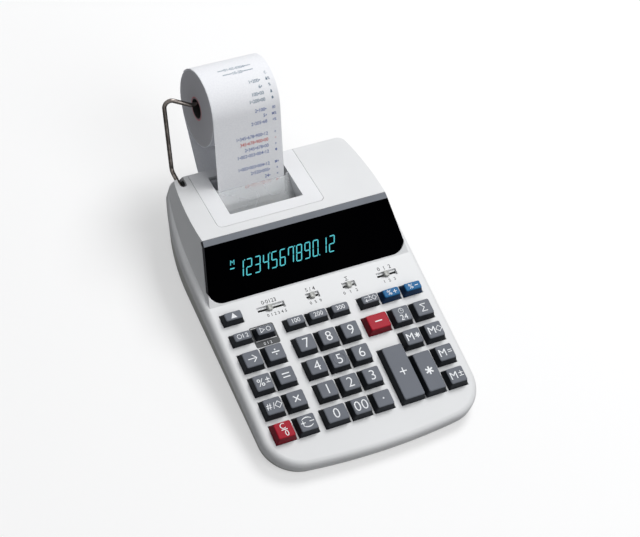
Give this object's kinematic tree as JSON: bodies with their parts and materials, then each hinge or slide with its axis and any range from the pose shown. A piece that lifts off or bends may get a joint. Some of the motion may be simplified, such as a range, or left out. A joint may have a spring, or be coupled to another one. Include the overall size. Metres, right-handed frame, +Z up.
{
  "type": "desk printing calculator",
  "caption": "Desk printing calculator with a sloped keyboard, a display, slide switches, a printer under a lift-off cover, and a paper roll on a wire arm.",
  "frame": {"origin": "middle of the bounding box at the level of the feet", "axes": "+X to the user's right, +Y away from the user, +Z up"},
  "size_m": [0.182, 0.3153, 0.1266],
  "materials": {
    "case_plastic": "fine satin texture",
    "cover_plastic": "fine satin texture",
    "key_grey": "satin",
    "key_red": "satin",
    "key_blue": "satin",
    "lens_black": "polished",
    "tube_glass": "clear tube",
    "chrome_wire": "bright",
    "paper": "plain uncoated paper",
    "clear_plastic": "clear",
    "platen_rubber": "ground rubber on a steel shaft",
    "sheet_steel": "plain steel sheet",
    "black_plastic": "moulded",
    "board_green": "coated board",
    "pad_rubber": "silicone",
    "core_steel": "laminated core with a wound coil",
    "foot_rubber": "moulded",
    "screw_steel": "zinc plated"
  },
  "bodies": {
    "case": {"upper_case": "case_plastic", "lower_case": "case_plastic", "display_lens": "lens_black", "display_tube": "tube_glass", "main_board": "board_green", "key_pad": "pad_rubber", "transformer": "core_steel", "feet": "foot_rubber", "screws": "screw_steel", "printer_frame": "sheet_steel", "paper_strip": "paper"},
    "cover": {"printer_cover": "cover_plastic"},
    "tear_bar": {"tear_bar": "clear_plastic"},
    "arm": {"paper_arm": "chrome_wire"},
    "roll": {"paper_roll": "paper"},
    "platen": {"platen_roller": "platen_rubber"},
    "carriage": {"print_carriage": "black_plastic"},
    "ink": {"ink_roller": "black_plastic"},
    "key_0": {"key_0": "key_grey"},
    "key_00": {"key_00": "key_grey"},
    "key_1": {"key_1": "key_grey"},
    "key_2": {"key_2": "key_grey"},
    "key_3": {"key_3": "key_grey"},
    "key_4": {"key_4": "key_grey"},
    "key_5": {"key_5": "key_grey"},
    "key_6": {"key_6": "key_grey"},
    "key_7": {"key_7": "key_grey"},
    "key_8": {"key_8": "key_grey"},
    "key_9": {"key_9": "key_grey"},
    "key_arrow": {"key_arrow": "key_grey"},
    "key_clear": {"key_clear": "key_red"},
    "key_convert": {"key_convert": "key_grey"},
    "key_cost": {"key_cost": "key_grey"},
    "key_divide": {"key_divide": "key_grey"},
    "key_equals": {"key_equals": "key_grey"},
    "key_feed": {"key_feed": "key_grey"},
    "key_grand_total": {"key_grand_total": "key_grey"},
    "key_item": {"key_item": "key_grey"},
    "key_margin": {"key_margin": "key_grey"},
    "key_memory_diamond": {"key_memory_diamond": "key_grey"},
    "key_memory_equals": {"key_memory_equals": "key_grey"},
    "key_memory_plus": {"key_memory_plus": "key_grey"},
    "key_memory_star": {"key_memory_star": "key_grey"},
    "key_minus": {"key_minus": "key_red"},
    "key_mode": {"key_mode": "key_grey"},
    "key_percent": {"key_percent": "key_grey"},
    "key_plus": {"key_plus": "key_grey"},
    "key_point": {"key_point": "key_grey"},
    "key_rate_minus": {"key_rate_minus": "key_blue"},
    "key_rate_plus": {"key_rate_plus": "key_blue"},
    "key_sell": {"key_sell": "key_grey"},
    "key_sign": {"key_sign": "key_grey"},
    "key_star": {"key_star": "key_grey"},
    "key_start": {"key_start": "key_grey"},
    "key_time": {"key_time": "key_grey"},
    "key_times": {"key_times": "key_grey"},
    "switch_decimal": {"switch_decimal": "key_grey"},
    "switch_rounding": {"switch_rounding": "key_grey"},
    "switch_total": {"switch_total": "key_grey"},
    "switch_power": {"switch_power": "key_grey"}
  },
  "joints": [
    {"name": "key_0_press", "type": "slide", "parent": "case", "child": "key_0", "axis": [0, 0.1392, -0.9903], "range_m": [0, 0.0025], "stiffness_N_per_m": 300},
    {"name": "key_00_press", "type": "slide", "parent": "case", "child": "key_00", "axis": [0, 0.1392, -0.9903], "range_m": [0, 0.0025], "stiffness_N_per_m": 300},
    {"name": "key_1_press", "type": "slide", "parent": "case", "child": "key_1", "axis": [0, 0.1392, -0.9903], "range_m": [0, 0.0025], "stiffness_N_per_m": 300},
    {"name": "key_2_press", "type": "slide", "parent": "case", "child": "key_2", "axis": [0, 0.1392, -0.9903], "range_m": [0, 0.0025], "stiffness_N_per_m": 300},
    {"name": "key_3_press", "type": "slide", "parent": "case", "child": "key_3", "axis": [0, 0.1392, -0.9903], "range_m": [0, 0.0025], "stiffness_N_per_m": 300},
    {"name": "key_4_press", "type": "slide", "parent": "case", "child": "key_4", "axis": [0, 0.1392, -0.9903], "range_m": [0, 0.0025], "stiffness_N_per_m": 300},
    {"name": "key_5_press", "type": "slide", "parent": "case", "child": "key_5", "axis": [0, 0.1392, -0.9903], "range_m": [0, 0.0025], "stiffness_N_per_m": 300},
    {"name": "key_6_press", "type": "slide", "parent": "case", "child": "key_6", "axis": [0, 0.1392, -0.9903], "range_m": [0, 0.0025], "stiffness_N_per_m": 300},
    {"name": "key_7_press", "type": "slide", "parent": "case", "child": "key_7", "axis": [0, 0.1392, -0.9903], "range_m": [0, 0.0025], "stiffness_N_per_m": 300},
    {"name": "key_8_press", "type": "slide", "parent": "case", "child": "key_8", "axis": [0, 0.1392, -0.9903], "range_m": [0, 0.0025], "stiffness_N_per_m": 300},
    {"name": "key_9_press", "type": "slide", "parent": "case", "child": "key_9", "axis": [0, 0.1392, -0.9903], "range_m": [0, 0.0025], "stiffness_N_per_m": 300},
    {"name": "key_arrow_press", "type": "slide", "parent": "case", "child": "key_arrow", "axis": [0, 0.1392, -0.9903], "range_m": [0, 0.0025], "stiffness_N_per_m": 300},
    {"name": "key_clear_press", "type": "slide", "parent": "case", "child": "key_clear", "axis": [0, 0.1392, -0.9903], "range_m": [0, 0.0025], "stiffness_N_per_m": 300},
    {"name": "key_convert_press", "type": "slide", "parent": "case", "child": "key_convert", "axis": [0, 0.1392, -0.9903], "range_m": [0, 0.0025], "stiffness_N_per_m": 300},
    {"name": "key_cost_press", "type": "slide", "parent": "case", "child": "key_cost", "axis": [0, 0.1392, -0.9903], "range_m": [0, 0.0025], "stiffness_N_per_m": 300},
    {"name": "key_divide_press", "type": "slide", "parent": "case", "child": "key_divide", "axis": [0, 0.1392, -0.9903], "range_m": [0, 0.0025], "stiffness_N_per_m": 300},
    {"name": "key_equals_press", "type": "slide", "parent": "case", "child": "key_equals", "axis": [0, 0.1392, -0.9903], "range_m": [0, 0.0025], "stiffness_N_per_m": 300},
    {"name": "key_feed_press", "type": "slide", "parent": "case", "child": "key_feed", "axis": [0, 0.1392, -0.9903], "range_m": [0, 0.0025], "stiffness_N_per_m": 300},
    {"name": "key_grand_total_press", "type": "slide", "parent": "case", "child": "key_grand_total", "axis": [0, 0.1392, -0.9903], "range_m": [0, 0.0025], "stiffness_N_per_m": 300},
    {"name": "key_item_press", "type": "slide", "parent": "case", "child": "key_item", "axis": [0, 0.1392, -0.9903], "range_m": [0, 0.0025], "stiffness_N_per_m": 300},
    {"name": "key_margin_press", "type": "slide", "parent": "case", "child": "key_margin", "axis": [0, 0.1392, -0.9903], "range_m": [0, 0.0025], "stiffness_N_per_m": 300},
    {"name": "key_memory_diamond_press", "type": "slide", "parent": "case", "child": "key_memory_diamond", "axis": [0, 0.1392, -0.9903], "range_m": [0, 0.0025], "stiffness_N_per_m": 300},
    {"name": "key_memory_equals_press", "type": "slide", "parent": "case", "child": "key_memory_equals", "axis": [0, 0.1392, -0.9903], "range_m": [0, 0.0025], "stiffness_N_per_m": 300},
    {"name": "key_memory_plus_press", "type": "slide", "parent": "case", "child": "key_memory_plus", "axis": [0, 0.1392, -0.9903], "range_m": [0, 0.0025], "stiffness_N_per_m": 300},
    {"name": "key_memory_star_press", "type": "slide", "parent": "case", "child": "key_memory_star", "axis": [0, 0.1392, -0.9903], "range_m": [0, 0.0025], "stiffness_N_per_m": 300},
    {"name": "key_minus_press", "type": "slide", "parent": "case", "child": "key_minus", "axis": [0, 0.1392, -0.9903], "range_m": [0, 0.0025], "stiffness_N_per_m": 300},
    {"name": "key_mode_press", "type": "slide", "parent": "case", "child": "key_mode", "axis": [0, 0.1392, -0.9903], "range_m": [0, 0.0025], "stiffness_N_per_m": 300},
    {"name": "key_percent_press", "type": "slide", "parent": "case", "child": "key_percent", "axis": [0, 0.1392, -0.9903], "range_m": [0, 0.0025], "stiffness_N_per_m": 300},
    {"name": "key_plus_press", "type": "slide", "parent": "case", "child": "key_plus", "axis": [0, 0.1392, -0.9903], "range_m": [0, 0.0025], "stiffness_N_per_m": 300},
    {"name": "key_point_press", "type": "slide", "parent": "case", "child": "key_point", "axis": [0, 0.1392, -0.9903], "range_m": [0, 0.0025], "stiffness_N_per_m": 300},
    {"name": "key_rate_minus_press", "type": "slide", "parent": "case", "child": "key_rate_minus", "axis": [0, 0.1392, -0.9903], "range_m": [0, 0.0025], "stiffness_N_per_m": 300},
    {"name": "key_rate_plus_press", "type": "slide", "parent": "case", "child": "key_rate_plus", "axis": [0, 0.1392, -0.9903], "range_m": [0, 0.0025], "stiffness_N_per_m": 300},
    {"name": "key_sell_press", "type": "slide", "parent": "case", "child": "key_sell", "axis": [0, 0.1392, -0.9903], "range_m": [0, 0.0025], "stiffness_N_per_m": 300},
    {"name": "key_sign_press", "type": "slide", "parent": "case", "child": "key_sign", "axis": [0, 0.1392, -0.9903], "range_m": [0, 0.0025], "stiffness_N_per_m": 300},
    {"name": "key_star_press", "type": "slide", "parent": "case", "child": "key_star", "axis": [0, 0.1392, -0.9903], "range_m": [0, 0.0025], "stiffness_N_per_m": 300},
    {"name": "key_start_press", "type": "slide", "parent": "case", "child": "key_start", "axis": [0, 0.1392, -0.9903], "range_m": [0, 0.0025], "stiffness_N_per_m": 300},
    {"name": "key_time_press", "type": "slide", "parent": "case", "child": "key_time", "axis": [0, 0.1392, -0.9903], "range_m": [0, 0.0025], "stiffness_N_per_m": 300},
    {"name": "key_times_press", "type": "slide", "parent": "case", "child": "key_times", "axis": [0, 0.1392, -0.9903], "range_m": [0, 0.0025], "stiffness_N_per_m": 300},
    {"name": "switch_decimal_slide", "type": "slide", "parent": "case", "child": "switch_decimal", "axis": [1, 0, 0], "range_m": [-0.0083, 0.0106]},
    {"name": "switch_rounding_slide", "type": "slide", "parent": "case", "child": "switch_rounding", "axis": [1, 0, 0], "range_m": [-0.0031, 0.004]},
    {"name": "switch_total_slide", "type": "slide", "parent": "case", "child": "switch_total", "axis": [1, 0, 0], "range_m": [-0.0036, 0.0037]},
    {"name": "switch_power_slide", "type": "slide", "parent": "case", "child": "switch_power", "axis": [1, 0, 0], "range_m": [-0.0062, 0.0071]},
    {"name": "cover_lift", "type": "slide", "parent": "case", "child": "cover", "axis": [0, 0.0983, 0.9952], "range_m": [0, 0.018]},
    {"name": "tear_bar_hinge", "type": "hinge", "parent": "cover", "child": "tear_bar", "pos_m": [-0.016, 0.07116, 0.05851], "axis": [-1, 0, 0], "range_deg": [0, 60]},
    {"name": "arm_fold", "type": "hinge", "parent": "case", "child": "arm", "pos_m": [-0.0684, 0.085, 0.0516], "axis": [1, 0, 0], "range_deg": [0, 45], "deforming": ["paper_strip"]},
    {"name": "roll_spin", "type": "hinge", "parent": "arm", "child": "roll", "pos_m": [-0.016, 0.1264, 0.095], "axis": [1, 0, 0], "continuous": true},
    {"name": "platen_spin", "type": "hinge", "parent": "case", "child": "platen", "pos_m": [-0.016, 0.07272, 0.0445], "axis": [1, 0, 0], "continuous": true},
    {"name": "carriage_run", "type": "slide", "parent": "case", "child": "carriage", "axis": [1, 0, 0], "range_m": [-0.044, 0]},
    {"name": "ink_spin", "type": "hinge", "parent": "carriage", "child": "ink", "pos_m": [0.01, 0.0535, 0.0408], "axis": [0, 0, 1], "continuous": true}
  ],
  "couplings": [
    {"joint": "platen_spin", "follows": "roll_spin", "ratio": 4.7692}
  ]
}
